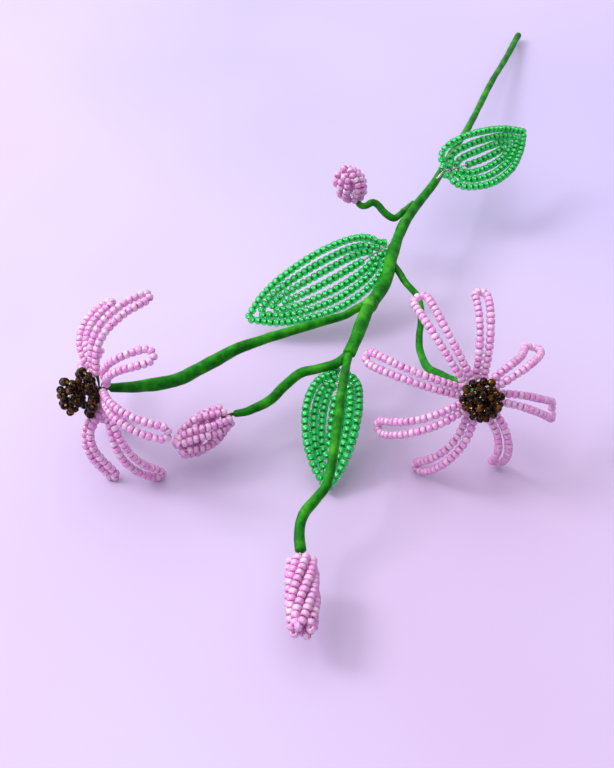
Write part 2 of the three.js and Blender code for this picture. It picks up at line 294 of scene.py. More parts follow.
def makeTape(name, look):
    material, nodes, links, shader = newMaterial(name)
    wrap = nodes.new("ShaderNodeGroup")
    wrap.node_tree = crepe
    wrap.inputs["Crease Scale"].default_value = look["creaseScale"]
    wrap.inputs["Blotch Scale"].default_value = look["blotchScale"]
    tones = [(0.36, look["dark"]), (0.5, look["body"]), (0.66, look["light"])]
    blotch = addRamp(nodes, tones)
    links.new(wrap.outputs["Blotch"], blotch.inputs["Fac"])
    # painted shade in the hollows of the crease bump and painted highlight on its ridges
    fine = addRamp(nodes, tones)
    links.new(wrap.outputs["Crease"], fine.inputs["Fac"])
    mottled = nodes.new("ShaderNodeMix")
    mottled.data_type = "RGBA"
    mottled.inputs["Factor"].default_value = look["creaseShadeAndHighlightShare"]
    links.new(blotch.outputs["Color"], mottled.inputs["A"])
    links.new(fine.outputs["Color"], mottled.inputs["B"])
    # painted highlight along the raised edge of each wrap and painted shade just before it, where the wrap
    # tucks under the next one
    lapShadeAndHighlight = [(0, look["light"]), (0.07, look["body"]), (0.9, look["body"]), (1, look["dark"])]
    edge = addRamp(nodes, lapShadeAndHighlight)
    links.new(wrap.outputs["Seam"], edge.inputs["Fac"])
    both = nodes.new("ShaderNodeMix")
    both.data_type = "RGBA"
    both.inputs["Factor"].default_value = look["lapShadeAndHighlightShare"]
    links.new(mottled.outputs["Result"], both.inputs["A"])
    links.new(edge.outputs["Color"], both.inputs["B"])
    links.new(both.outputs["Result"], shader.inputs["Base Color"])
    shader.inputs["Specular IOR Level"].default_value = look["sheen"]
    wax = nodes.new("ShaderNodeMapRange")
    wax.inputs["To Min"].default_value = look["waxy"]
    wax.inputs["To Max"].default_value = look["dry"]
    links.new(wrap.outputs["Crease"], wax.inputs["Value"])
    links.new(wax.outputs["Result"], shader.inputs["Roughness"])
    bump = nodes.new("ShaderNodeBump")
    bump.inputs["Distance"].default_value = look["creaseDepth"]
    bump.inputs["Strength"].default_value = 0.5
    links.new(wrap.outputs["Crease"], bump.inputs["Height"])
    links.new(bump.outputs["Normal"], shader.inputs["Normal"])
    return material


def makeTableTop():
    material, nodes, links, shader = newMaterial("tableTop")
    position = nodes.new("ShaderNodeTexCoord")
    wash = nodes.new("ShaderNodeTexNoise")
    wash.inputs["Scale"].default_value = table["washScale"]
    wash.inputs["Detail"].default_value = 3
    links.new(position.outputs["Object"], wash.inputs["Vector"])
    ramp = addRamp(nodes, [(0.32, table["cool"]), (0.52, table["pale"]), (0.72, table["warm"])])
    links.new(wash.outputs["Fac"], ramp.inputs["Fac"])
    links.new(ramp.outputs["Color"], shader.inputs["Base Color"])
    shader.inputs["Roughness"].default_value = table["roughness"]
    return material


# body is each glass's own colour; the end colour is painted shade at the bead ends, and glint is the
# painted highlight colour
beadLooks = {
    "pinkGlass": {
        "endShade": (1.0, 0.4, 0.84), "body": (1.0, 0.4, 0.86), "glint": (1.0, 0.8, 0.98),
        "glintFrom": 0.7, "sparkle": 0.85, "clearness": 0.42, "sheen": 0.75, "streakScale": 700,
    },
    "greenGlass": {
        "endShade": (0.0, 0.36, 0.05), "body": (0.0, 0.86, 0.13), "glint": (0.1, 1.0, 0.32),
        "glintFrom": 0.35, "sparkle": 0.3, "clearness": 0.75, "sheen": 0.5, "streakScale": 600,
    },
    "brownGlass": {
        "endShade": (0.002, 0.001, 0.001), "body": (0.004, 0.001, 0.0), "glint": (0.24, 0.09, 0.012),
        "glintFrom": 0.9, "sparkle": 0.4, "clearness": 0.04, "sheen": 0.1, "streakScale": 500,
    },
}
glass = {name: makeBeadGlass(name, look) for name, look in beadLooks.items()}
plating = {"cloudScale": 1400, "shade": 0.75, "metal": 1, "roughness": 0.18}
linings = {
    "pinkGlass": makeMetal("pinkLining", (1.0, 0.86, 0.95), {**plating, "metal": 0.35}),
    "greenGlass": makeMetal("greenLining", (0.6, 1.0, 0.6), plating),
    "brownGlass": makeMetal("goldLining", (0.95, 0.62, 0.2), plating),
}
tapeLook = {
    "dark": (0.0, 0.06, 0.0), "body": (0.001, 0.18, 0.001), "light": (0.05, 0.36, 0.008),
    "creaseScale": 700, "creaseDepth": 0.0004, "blotchScale": 240, "creaseShadeAndHighlightShare": 0.35, "lapShadeAndHighlightShare": 0.22,
    "sheen": 0.14, "waxy": 0.32, "dry": 0.62,  # dry and waxy are the two ends of its roughness
}
tape = makeTape("greenTape", tapeLook)
cuffTape = makeTape("paleTape", {**tapeLook, "body": (0.05, 0.34, 0.02), "light": (0.14, 0.48, 0.05)})
drawnWire = {"cloudScale": 900, "shade": 0.7, "metal": 1, "roughness": 0.25}
silverWire = makeMetal("silverWire", (0.82, 0.8, 0.78), drawnWire)
darkWire = makeMetal("oliveWire", (0.16, 0.12, 0.05), {**drawnWire, "roughness": 0.4})
tableTop = makeTableTop()
print("materials ready")


beadSizes = {  # millimetres: outer diameter, length, hole, and the step from one bead to the next
    "pinkGlass": {"wide": 2.12, "long": 1.48, "hole": 0.8, "pitch": 1.5},
    "greenGlass": {"wide": 2.38, "long": 1.74, "hole": 0.85, "pitch": 1.78},
    "brownGlass": {"wide": 2.05, "long": 1.5, "hole": 0.8, "pitch": 1.75},
}
stringWire = 0.3  # diameter of the wire inside the beads, mm
wireSides = 6


def makeBead(kind, sides=10):
    # a short rounded tube about X: glass outside, and a plated wall in its hole
    size = beadSizes[kind]
    rim = size["wide"] / 2
    half = size["long"] / 2
    hole = size["hole"] / 2
    profile = [(-0.8 * half, hole), (-half, mix(hole, rim, 0.45)), (-0.62 * half, 0.94 * rim), (0, rim),
               (0.62 * half, 0.94 * rim), (half, mix(hole, rim, 0.45)), (0.8 * half, hole)]
    shape = bmesh.new()
    rings = []
    for along, out in profile:
        turns = [2 * math.pi * i / sides for i in range(sides)]
        rings.append([shape.verts.new(Vector((along, out * math.cos(a), out * math.sin(a))) * mm)
                      for a in turns])
    for number, (left, right) in enumerate(zip(rings, rings[1:] + rings[:1])):
        for i in range(sides):
            face = shape.faces.new((left[i], left[i - 1], right[i - 1], right[i]))
            face.smooth = True
            face.material_index = 1 if number == len(rings) - 1 else 0  # the last band is the hole's wall
    bmesh.ops.recalc_face_normals(shape, faces=shape.faces)
    mesh = bpy.data.meshes.new(kind + "Bead")
    shape.to_mesh(mesh)
    shape.free()
    # mask for the painted end shade: 0 at a bead's middle, 1 at its ends
    ends = mesh.attributes.new("beadEndShadeMask", "FLOAT", "POINT")
    for vertex in mesh.vertices:
        ends.data[vertex.index].value = min(1, abs(vertex.co.x) / (half * mm)) ** 3
    lined = mesh.attributes.new("isLining", "BOOLEAN", "FACE")
    for face in mesh.polygons:
        lined.data[face.index].value = face.material_index == 1
    bead = bpy.data.objects.new(kind + "Bead", mesh)
    bpy.context.scene.collection.objects.link(bead)
    return bead


def makeStringTree():
    # beads every so far along each chain of edges, with the wire that they are strung on
    tree = bpy.data.node_groups.new("strungBeads", "GeometryNodeTree")
    faces = tree.interface
    faces.new_socket("Geometry", in_out="INPUT", socket_type="NodeSocketGeometry")
    faces.new_socket("Bead", in_out="INPUT", socket_type="NodeSocketObject")
    for name in ("Pitch", "Wire Radius", "Wobble", "Size Change"):
        faces.new_socket(name, in_out="INPUT", socket_type="NodeSocketFloat")
    faces.new_socket("Seed", in_out="INPUT", socket_type="NodeSocketInt")
    faces.new_socket("Glass", in_out="INPUT", socket_type="NodeSocketMaterial")
    faces.new_socket("Lining", in_out="INPUT", socket_type="NodeSocketMaterial")
    faces.new_socket("Wire", in_out="INPUT", socket_type="NodeSocketMaterial")
    faces.new_socket("Geometry", in_out="OUTPUT", socket_type="NodeSocketGeometry")
    nodes = tree.nodes
    links = tree.links
    given = nodes.new("NodeGroupInput")
    result = nodes.new("NodeGroupOutput")
    path = nodes.new("GeometryNodeMeshToCurve")
    links.new(given.outputs["Geometry"], path.inputs["Mesh"])
    spaced = nodes.new("GeometryNodeResampleCurve")
    spaced.mode = "LENGTH"
    links.new(path.outputs["Curve"], spaced.inputs["Curve"])
    links.new(given.outputs["Pitch"], spaced.inputs["Length"])
    tangent = nodes.new("GeometryNodeInputTangent")
    wobble = nodes.new("FunctionNodeRandomValue")
    wobble.data_type = "FLOAT_VECTOR"
    wobble.inputs["Min"].default_value = (-1, -1, -1)
    links.new(given.outputs["Seed"], wobble.inputs["Seed"])
    lean = nodes.new("ShaderNodeVectorMath")
    lean.operation = "MULTIPLY_ADD"
    links.new(wobble.outputs["Value"], lean.inputs[0])
    links.new(given.outputs["Wobble"], lean.inputs[1])
    links.new(tangent.outputs["Tangent"], lean.inputs[2])
    facing = nodes.new("FunctionNodeAlignRotationToVector")
    facing.axis = "X"
    links.new(lean.outputs["Vector"], facing.inputs["Vector"])
    grow = nodes.new("FunctionNodeRandomValue")
    links.new(given.outputs["Seed"], grow.inputs["Seed"])
    scale = nodes.new("ShaderNodeMath")
    scale.operation = "MULTIPLY_ADD"
    scale.inputs[2].default_value = 1
    centred = nodes.new("ShaderNodeMath")
    centred.operation = "SUBTRACT"
    centred.inputs[1].default_value = 0.5
    links.new(grow.outputs[1], centred.inputs[0])
    links.new(centred.outputs[0], scale.inputs[0])
    links.new(given.outputs["Size Change"], scale.inputs[1])
    bead = nodes.new("GeometryNodeObjectInfo")
    links.new(given.outputs["Bead"], bead.inputs["Object"])
    strung = nodes.new("GeometryNodeInstanceOnPoints")
    links.new(spaced.outputs["Curve"], strung.inputs["Points"])
    links.new(bead.outputs["Geometry"], strung.inputs["Instance"])
    links.new(facing.outputs["Rotation"], strung.inputs["Rotation"])
    links.new(scale.outputs[0], strung.inputs["Scale"])
    # a random share of painted glint for each bead
    glintChance = nodes.new("FunctionNodeRandomValue")
    glintChance.inputs["Seed"].default_value = 7
    stored = nodes.new("GeometryNodeStoreNamedAttribute")
    stored.domain = "INSTANCE"
    stored.inputs["Name"].default_value = "beadGlintChance"
    links.new(strung.outputs["Instances"], stored.inputs["Geometry"])
    links.new(glintChance.outputs[1], stored.inputs["Value"])
    core = nodes.new("GeometryNodeCurvePrimitiveCircle")
    core.inputs["Resolution"].default_value = wireSides
    links.new(given.outputs["Wire Radius"], core.inputs["Radius"])
    wire = nodes.new("GeometryNodeCurveToMesh")
    wire.inputs["Fill Caps"].default_value = True
    links.new(spaced.outputs["Curve"], wire.inputs["Curve"])
    links.new(core.outputs["Curve"], wire.inputs["Profile Curve"])
    bare = nodes.new("GeometryNodeStoreNamedAttribute")
    bare.domain = "FACE"
    bare.data_type = "BOOLEAN"
    bare.inputs["Name"].default_value = "isWire"
    bare.inputs["Value"].default_value = True
    links.new(wire.outputs["Mesh"], bare.inputs["Geometry"])
    joined = nodes.new("GeometryNodeJoinGeometry")
    links.new(bare.outputs["Geometry"], joined.inputs["Geometry"])
    links.new(stored.outputs["Geometry"], joined.inputs["Geometry"])
    real = nodes.new("GeometryNodeRealizeInstances")
    links.new(joined.outputs["Geometry"], real.inputs["Geometry"])
    isWire = nodes.new("GeometryNodeInputNamedAttribute")
    isWire.data_type = "BOOLEAN"
    isWire.inputs["Name"].default_value = "isWire"
    isLining = nodes.new("GeometryNodeInputNamedAttribute")
    isLining.data_type = "BOOLEAN"
    isLining.inputs["Name"].default_value = "isLining"
    last = real.outputs["Geometry"]
    for name, test in (("Glass", None), ("Lining", isLining), ("Wire", isWire)):
        coat = nodes.new("GeometryNodeSetMaterial")
        links.new(last, coat.inputs["Geometry"])
        links.new(given.outputs[name], coat.inputs["Material"])
        if test:
            links.new(test.outputs["Attribute"], coat.inputs["Selection"])
        last = coat.outputs["Geometry"]
    links.new(last, result.inputs["Geometry"])
    return tree


stringTree = makeStringTree()
beads = {kind: makeBead(kind) for kind in beadSizes}
seeds = random.Random(11)


def setInput(modifier, name, value):
    for item in modifier.node_group.interface.items_tree:
        if item.item_type == "SOCKET" and item.in_out == "INPUT" and item.name == name:
            modifier[item.identifier] = value


def plainMesh(carrier, name):
    # the evaluated carrier as an ordinary mesh object
    graph = bpy.context.evaluated_depsgraph_get()
    mesh = bpy.data.meshes.new_from_object(carrier.evaluated_get(graph))
    mesh.name = name
    piece = bpy.data.objects.new(name, mesh)
    bpy.context.scene.collection.objects.link(piece)
    carrierMesh = carrier.data
    bpy.data.objects.remove(carrier)
    bpy.data.meshes.remove(carrierMesh)
    return piece


def stringBeads(name, chains, kind, wobble=0.1, sizeChange=0.1, pitch=None):
    # chains are lists of points in metres
    mesh = bpy.data.meshes.new(name + "Path")
    points = []
    edges = []
    for chain in chains:
        edges += [(len(points) + i, len(points) + i + 1) for i in range(len(chain) - 1)]
        points += chain
    mesh.from_pydata(points, edges, [])
    carrier = bpy.data.objects.new(name + "Path", mesh)
    bpy.context.scene.collection.objects.link(carrier)
    modifier = carrier.modifiers.new("strungBeads", "NODES")
    modifier.node_group = stringTree
    setInput(modifier, "Bead", beads[kind])
    setInput(modifier, "Pitch", (pitch or beadSizes[kind]["pitch"]) * mm)
    setInput(modifier, "Wire Radius", stringWire * mm / 2)
    setInput(modifier, "Wobble", wobble)
    setInput(modifier, "Size Change", sizeChange)
    setInput(modifier, "Seed", seeds.randrange(1000))
    setInput(modifier, "Glass", glass[kind])
    setInput(modifier, "Lining", linings[kind])
    setInput(modifier, "Wire", silverWire)
    return plainMesh(carrier, name)


def smoothPath(points, perSpan=10):
    # a curve through all the points, straight on at both ends
    ends = [2 * points[0] - points[1], *points, 2 * points[-1] - points[-2]]
    path = []
    for before, start, end, after in zip(ends, ends[1:], ends[2:], ends[3:]):
        leave = start + (end - before) / 6
        arrive = end - (after - start) / 6
        path += interpolate_bezier(start, leave, arrive, end, perSpan + 1)[:-1]
    return [*path, points[-1]]


def finishPiece(piece, slot, *nodes):
    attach(piece, "root")
    if nodes:
        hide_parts(*nodes)
    return piece


loopStations = (0, 0.2, 0.4, 0.6, 0.8)  # places along each side of a petal or bud loop


def loopPoints(middle, side, half, stations, turnStart):
    # out on one side of the middle line, round its end and back on the other side
    def at(t, share):
        return middle(t) + side(t) * half(t) * share
    out = [at(t, 1) for t in stations]
    turned = []
    for angle in (30, 90, 150):
        turn = math.radians(angle)
        turned.append(at(mix(turnStart, 1, math.sin(turn)), math.cos(turn)))
    return out + turned + [at(t, -1) for t in reversed(stations)]


def spacedPath(path, step):
    # the same path with a point about every step
    lengths = [0]
    for start, end in zip(path, path[1:]):
        lengths.append(lengths[-1] + (end - start).length)
    count = max(2, round(lengths[-1] / step))
    spaced = []
    span = 0
    for i in range(count + 1):
        wanted = lengths[-1] * i / count
        while span < len(path) - 2 and lengths[span + 1] < wanted:
            span += 1
        share = (wanted - lengths[span]) / max(1e-9, lengths[span + 1] - lengths[span])
        spaced.append(mix(path[span], path[span + 1], share))
    return spaced, lengths[-1]


def addTube(shape, path, radiusAt, sides, wrapPitch=None):
    # a closed tube along the path, its radius from the share of the length and the turn about it
    wrap = shape.loops.layers.uv.get("wrap") or shape.loops.layers.uv.new("wrap")
    travelled = 0
    forward = unit(path[1] - path[0])
    across = forward.orthogonal().normalized()
    rings = []
    marks = []
    for i, centre in enumerate(path):
        ahead = path[min(i + 1, len(path) - 1)] - path[max(i - 1, 0)]
        forward = unit(ahead)
        across = unit(across - forward * across.dot(forward))
        other = forward.cross(across)
        if i:
            travelled += (centre - path[i - 1]).length
        marks.append(travelled)
        ring = []
        for k in range(sides):
            turn = 2 * math.pi * k / sides
            out = radiusAt(i / (len(path) - 1), travelled, k / sides)
            ring.append(shape.verts.new(centre + (across * math.cos(turn) + other * math.sin(turn)) * out))
        rings.append(ring)
    pitch = wrapPitch or 1
    for i, (low, high) in enumerate(zip(rings, rings[1:])):
        for k in range(sides):
            n = (k + 1) % sides
            face = shape.faces.new((low[k], low[n], high[n], high[k]))
            face.smooth = True
            corners = [(k, marks[i]), (k + 1, marks[i]), (k + 1, marks[i + 1]), (k, marks[i + 1])]
            for loop, (around, along) in zip(face.loops, corners):
                loop[wrap].uv = (around / sides, along / pitch)
    for ring, turned in ((rings[0], True), (rings[-1], False)):
        cap = shape.faces.new(list(reversed(ring)) if turned else ring)
        cap.smooth = True


def stringRadius(share, along, around):
    return stringWire * mm / 2


def addTail(shape, end, bend, knot):
    # the bare end of a stringing wire, from the last bead by way of a bend to the knot
    addTube(shape, smoothPath([end, bend, knot], 5), stringRadius, wireSides)


def shapeToPiece(shape, name, *materials):
    mesh = bpy.data.meshes.new(name)
    shape.to_mesh(mesh)
    shape.free()
    for material in materials:
        mesh.materials.append(material)
    piece = bpy.data.objects.new(name, mesh)
    bpy.context.scene.collection.objects.link(piece)
    return piece


def addTwist(shape, path, radius, strands, wireRadius, pitch, stepsPerTurn=8):
    # a few wires twisted round one another along the path
    path = spacedPath(path, pitch / stepsPerTurn)[0]
    forward = unit(path[1] - path[0])
    across = forward.orthogonal().normalized()
    frames = []
    for i, centre in enumerate(path):
        forward = unit(path[min(i + 1, len(path) - 1)] - path[max(i - 1, 0)])
        across = unit(across - forward * across.dot(forward))
        frames.append((centre, across, forward.cross(across)))
    for number in range(strands):
        strand = []
        for i, (centre, one, two) in enumerate(frames):
            turn = 2 * math.pi * (number / strands + i / stepsPerTurn)
            strand.append(centre + (one * math.cos(turn) + two * math.sin(turn)) * radius)
        addTube(shape, strand, lambda share, along, around: wireRadius, wireSides)


wrapping = {  # lengths in millimetres
    "pitch": 4.6, "step": 0.35, "seam": 0.1, "lap": 0.93, "lump": 0.12, "lumpLength": 5.5, "endRound": 0.7,
    "sides": 20, "slim": 0.93, "cuffProud": 0.12, "cuffEdge": 0.04, "cuffFullness": 0.35,
}


def radiusOf(diameters, share):
    # diameters are spread evenly along the stem
    spot = share * (len(diameters) - 1)
    before = min(int(spot), len(diameters) - 2)
    return mix(diameters[before], diameters[before + 1], spot - before) / 2


def tapedStem(name, route, diameters, cuffs, seed):
    # tape wound in an overlapping spiral, a little lumpy, over a bundle of wires
    path, length = spacedPath(smoothPath([place(point) for point in route]), wrapping["step"] * mm)
    pitch = wrapping["pitch"] * mm

    def radiusAt(share, along, around):
        turned = (along / pitch + around) % 1
        layer = wrapping["seam"] * (0.5 - turned)
        if turned >= wrapping["lap"]:
            layer = wrapping["seam"] * (turned - wrapping["lap"]) * 7
        lump = noise.noise(Vector((along / mm / wrapping["lumpLength"], seed, 2.4 * abs(around - 0.5))))
        fromEnd = min(share, 1 - share) * length / (wrapping["endRound"] * mm)
        endRound = min(1, math.sqrt(max(0.02, fromEnd)))
        radius = radiusOf(diameters, share) * wrapping["slim"] * (1 + wrapping["lump"] * lump)
        return (radius + layer * 0.5) * endRound * mm

    shape = bmesh.new()
    addTube(shape, path, radiusAt, wrapping["sides"], pitch)
    for start, end in cuffs:
        first = round(start * (len(path) - 1))
        last = round(end * (len(path) - 1))
        radius = radiusOf(diameters, 0.5 * (start + end)) + wrapping["cuffProud"]
        edge = wrapping["cuffEdge"]
        made = len(shape.faces)

        def cuffRadius(share, along, around):
            rounded = math.sin(math.pi * (edge + (1 - 2 * edge) * share)) ** wrapping["cuffFullness"]
            uneven = 1 + 0.06 * noise.noise(Vector((around * 3, along / mm, seed + 5)))
            return radius * rounded * uneven * mm

        addTube(shape, path[first:last + 1], cuffRadius, wrapping["sides"], pitch)
        shape.faces.ensure_lookup_table()
        for face in shape.faces[made:]:
            face.material_index = 1
    return shapeToPiece(shape, name, tape, cuffTape)


# a branch's first point is inside the stem that it leaves; cuffs are shares of the way along
stems = {
    "main_stem": {
        "route": [(75, 136.5, 2), (66, 111, 5), (57, 87, 8), (45.5, 53, 12), (36.5, 30, 15), (29.8, 12, 17),
                  (23.2, -1.5, 18), (18.3, -13, 19), (14.2, -27, 19), (12.5, -36, 19), (9.5, -44, 19),
                  (6.5, -50, 19), (3.2, -60, 18), (0.8, -66.5, 17)],
        "diameters": [2.8, 2.4, 2.4, 2.4, 2.5, 2.7, 3.3, 4.2, 3.6],
        "cuffs": [(0.9, 0.925)],
    },
    "left_flower_stem": {
        "route": [(7.2, -47.2, 19), (3, -50.6, 19), (-1.4, -53.7, 19), (-14.2, -59.2, 19), (-27, -64.3, 18),
                  (-34, -69.6, 18), (-42.3, -77.2, 19), (-50.6, -81.4, 20.7), (-59.1, -83, 21.6)],
        "diameters": [2.2, 2.4, 2.6, 2.8, 3.5, 3.7, 3.6, 2.2],
        "cuffs": [],
    },
    "right_flower_stem": {
        "route": [(14.2, -30.5, 18.8), (16.2, -34.2, 17.8), (17.6, -37.1, 17), (20.9, -41, 15),
                  (21.6, -46.2, 12), (20.7, -52, 10.5), (20.7, -58.8, 10.5), (21.8, -66.3, 12.5),
                  (25, -74, 16.5), (29.3, -80.8, 20), (31.1, -86.5, 22.6)],
        "diameters": [2, 2, 2, 2.2, 2.6, 2.7, 2.4],
        "cuffs": [],
    },
    "back_bud_stem": {
        "route": [(22.6, 0.4, 17.8), (20, -3.4, 18), (17.8, -7.1, 18.6), (15.7, -10.2, 19.5),
                  (13, -9.2, 20.6), (11, -6.6, 21.6), (9.3, -5.9, 22), (7.4, -7.4, 21.9), (5.8, -7, 21.8),
                  (4.7, -4.9, 22.2)],
        "diameters": [1.8, 2, 2.2, 2.2, 2],
        "cuffs": [(0.2, 0.27)],
    },
    "front_bud_stem": {
        "route": [(1.4, -64.5, 17), (0.5, -68.4, 17.2), (-0.9, -78.4, 18.6), (-2.4, -90.4, 18.4),
                  (-3.8, -100.9, 17), (-5.3, -108, 15), (-8.1, -111.6, 13.4), (-10.9, -115, 12),
                  (-11.8, -119.6, 11), (-11.4, -124.6, 10.3)],
        "diameters": [2.3, 2.4, 2.4, 2.5, 2.7, 2.8],
        "cuffs": [],
    },
    "left_bud_stem": {
        "route": [(1.2, -65, 16.8), (-2.2, -67.6, 15.4), (-7.7, -68.6, 14), (-11.8, -69, 13),
                  (-15.7, -72.7, 12.2), (-19.5, -77.4, 11.6), (-24.6, -81, 11.4), (-28.9, -82.3, 11.5)],
        "diameters": [2.4, 2.8, 2.9, 2.8, 2],
        "cuffs": [],
    },
}
for number, (name, stem) in enumerate(stems.items()):
    piece = tapedStem(name + "_tape", **stem, seed=3.7 * number)
    finishPiece(piece, "floral_tape", name)
print("taped stems ready")


petalShape = {
    "strand": 1.8, "gap": 0.1, "ring": 4.9, "stagger": 1.3,  # ring: where petals start, from the axis
    "archAt": 0.35, "droopAt": 0.87, "droop": 0.2, "turnAt": 0.8, "roundFrom": 0.9, "rollBy": 0.5,
}
# petals: angle at the ring, angle of the tip, reach, drop, arch, half width near the tip and roll
flowers = {
    "left_flower": {
        "centre": (-61.4, -84.1, 22), "turn": -64, "rise": 8, "cone": (4.3, 10.4),
        "stemEnd": (-59.1, -83, 21.6),
        "petals": [
            (112, 112, 21.5, 15.8, 1, 1.2, 42), (157, 157, 23.2, 10.7, 4, 1.3, 50),
            (202, 200, 25.2, 8.5, 2, 1.4, 0), (247, 247, 21, 10, 2, 1.5, 0),
            (292, 295, 23.6, 1, 9.5, 1.2, -45), (337, 308, 24.4, 11.9, 2, 1.6, -45),
            (22, 7, 22.6, 9.8, 2, 1.8, -15), (67, 60, 19.5, 10.2, 2, 1.9, 0),
        ],
    },
    "right_flower": {
        "centre": (31.4, -88.6, 24), "turn": 9, "rise": 33, "cone": (3.3, 6.5),
        "stemEnd": (31.1, -86.5, 22.6),
        "petals": [
            (118, 114, 26.5, 11, 1.5, 2, 0), (78, 80, 24.6, 8.9, 1.5, 1.7, 0),
            (36, 23, 20.3, 14.5, 1.5, 2.3, -50), (351, 340, 23, 9.6, 1.5, 2.4, -15),
            (303, 288, 21.1, 10.9, 1.5, 1.5, 30), (250, 234, 23.7, 12.2, 1.5, 1.5, 30),
            (204, 198, 24.2, 12.1, 1.5, 1.8, 20), (158, 156, 27, 11, 1.5, 1.6, 0),
        ],
    },
}


class FlowerFrame:
    # rings of points about a flower's axis
    def __init__(self, centre, turn, rise):
        a = math.radians(turn)
        e = math.radians(rise)
        self.centre = Vector(centre)
        self.axis = Vector((math.sin(a) * math.cos(e), -math.cos(a) * math.cos(e), math.sin(e)))
        self.level = Vector((math.cos(a), math.sin(a), 0))
        self.up = self.axis.cross(self.level)

    def ring(self, angle):
        turn = math.radians(angle)
        return self.level * math.cos(turn) + self.up * math.sin(turn)

    def spot(self, angle, reach, height):
        return self.centre + self.ring(angle) * reach + self.axis * height


def petalPath(flower, petal, lower):
    start, tip, reach, drop, arch, width, roll = petal
    turnOf = (tip - start + 540) % 360 - 180
    shape = petalShape
    beforeTip = start + shape["turnAt"] * turnOf
    corners = [flower.spot(start, shape["ring"], -lower),
               flower.spot(start, shape["ring"] + shape["archAt"] * reach, arch - lower),
               flower.spot(beforeTip, shape["droopAt"] * reach, -shape["droop"] * drop),
               flower.spot(tip, reach, -drop)]
    fine = 200
    line = interpolate_bezier(*corners, fine + 1)

    def side(t):
        spot = min(round(t * fine), fine - 1)
        across = flower.ring(start + turnOf * t + 90)
        front = unit((line[spot + 1] - line[spot]).cross(across))
        turned = math.radians(roll) * min(1, t / shape["rollBy"])
        return across * math.cos(turned) + front * math.sin(turned)

    narrow = shape["strand"] / 2 + shape["gap"]
    points = loopPoints(lambda t: line[round(t * fine)], side, lambda t: mix(narrow, width, t),
                        loopStations, shape["roundFrom"])
    return smoothPath([place(point) for point in points])


coneShape = {"loop": 1.9, "loopSteps": 7, "pitch": 1.85, "wobble": 0.2, "sizeChange": 0.16}


def makeCone(name, flower, radius, height):
    # tiers of small bead loops that stand out from the middle: count, reach, lift and lean
    shake = random.Random(name)
    tiers = [(6, 0.92 * radius, 2.3, 62),
             (4, 0.65 * radius, 0.6 * height, 40),
             (1, 0, 0.85 * height, 90)]
    chains = []
    for tier, (count, reach, lift, lean) in enumerate(tiers):
        for i in range(count):
            angle = 360 * (i + 0.5 * tier) / count + shake.uniform(-9, 9)
            tilt = math.radians(lean + shake.uniform(-12, 12))
            pointing = flower.ring(angle) * math.sin(tilt) + flower.axis * math.cos(tilt)
            across = flower.ring(angle + 90 + shake.uniform(-15, 15))
            middle = flower.spot(angle, reach, lift)
            turns = [math.radians(60 * step + 30) for step in range(coneShape["loopSteps"])]
            radii = [pointing * math.cos(turn) + across * math.sin(turn) for turn in turns]
            loop = [middle + out * coneShape["loop"] for out in radii]
            chains.append([place(point) for point in smoothPath(loop, 4)])
    return stringBeads(name, chains, "brownGlass", coneShape["wobble"], coneShape["sizeChange"],
                       coneShape["pitch"])


for name, look in flowers.items():
    flower = FlowerFrame(look["centre"], look["turn"], look["rise"])
    tails = bmesh.new()
    stemEnd = place(look["stemEnd"])
    hub = place(flower.spot(0, 0, -0.6))
    for number, petal in enumerate(look["petals"]):
        path = petalPath(flower, petal, (number % 2) * petalShape["stagger"])
        piece = stringBeads(f"{name}_petal_{number + 1}_beads", [path], "pinkGlass")
        finishPiece(piece, "pink_beads", f"{name}_petal_{number + 1}")
        for end in (path[0], path[-1]):
            tail = smoothPath([end, mix(end, hub, 0.6), hub, mix(hub, stemEnd, 0.9)], 5)
            addTube(tails, tail, stringRadius, wireSides)
    addTwist(tails, [stemEnd, hub], 0.35 * mm, 4, 0.22 * mm, 1.8 * mm)
    wire = darkWire if name == "left_flower" else silverWire
    finishPiece(shapeToPiece(tails, name + "_wire_tails", wire), "wire", name + "_neck")
    cone = makeCone(name + "_cone_beads", flower, *look["cone"])
    finishPiece(cone, "brown_beads", name + "_cone")
print("flowers ready")


leafRows = {  # lengths in millimetres
    "strand": 1.9, "pitch": 2.45, "tipStep": 3.7, "footStep": 2.6, "footGap": 1.6,
    "spread": 1.3, "tipLean": 1.15, "tipGap": 0.9, "heel": 1.1, "heelHug": 0.52, "rounds": 3,
}
leaves = {
    "left_leaf": {"foot": (13.2, -20.8, 17.6), "tip": (-27.5, -40, 6), "roll": -40, "bow": 2.5, "sway": 1.5,
                  "curl": 1.6, "width": 1.12, "shoulder": 0.3, "stem": (15.2, -20.4, 18.6)},
    "front_leaf": {"foot": (-1, -67.8, 13.2), "tip": (-5, -99.3, 1.7), "roll": 0, "bow": 1.5, "sway": -0.8,
                   "curl": 3.4, "width": 0.88, "shoulder": 0.3, "stem": (0.6, -65.6, 16.2)},
    "back_leaf": {"foot": (32, 13, 20), "tip": (60.5, 34.2, 21.4), "roll": 40, "bow": 1, "sway": -2.2,
                  "curl": 2.5, "width": 1.12, "shoulder": -0.3, "stem": (30, 12.2, 17.4)},
}


class LeafFrame:
    # places on a leaf's curved face, by distance along its midrib and offset to the side
    def __init__(self, foot, tip, roll, bow, sway, curl, width, **others):
        self.start = Vector(foot)
        self.along = Vector(tip) - self.start
        self.length = self.along.length
        self.along.normalize()
        level = unit(Vector((-self.along.y, self.along.x, 0)))
        turn = math.radians(roll)
        self.across = level * math.cos(turn) + self.along.cross(level) * math.sin(turn)
        self.face = self.along.cross(self.across)
        self.bow = bow
        self.sway = sway
        self.curl = curl
        self.widest = leafRows["rounds"] * leafRows["pitch"] * width

    def spot(self, distance, offset):
        bend = math.sin(math.pi * distance / self.length)
        rise = self.bow * bend + self.curl * (offset / self.widest) ** 2
        aside = offset + self.sway * bend
        return self.start + self.along * distance + self.across * aside + self.face * rise


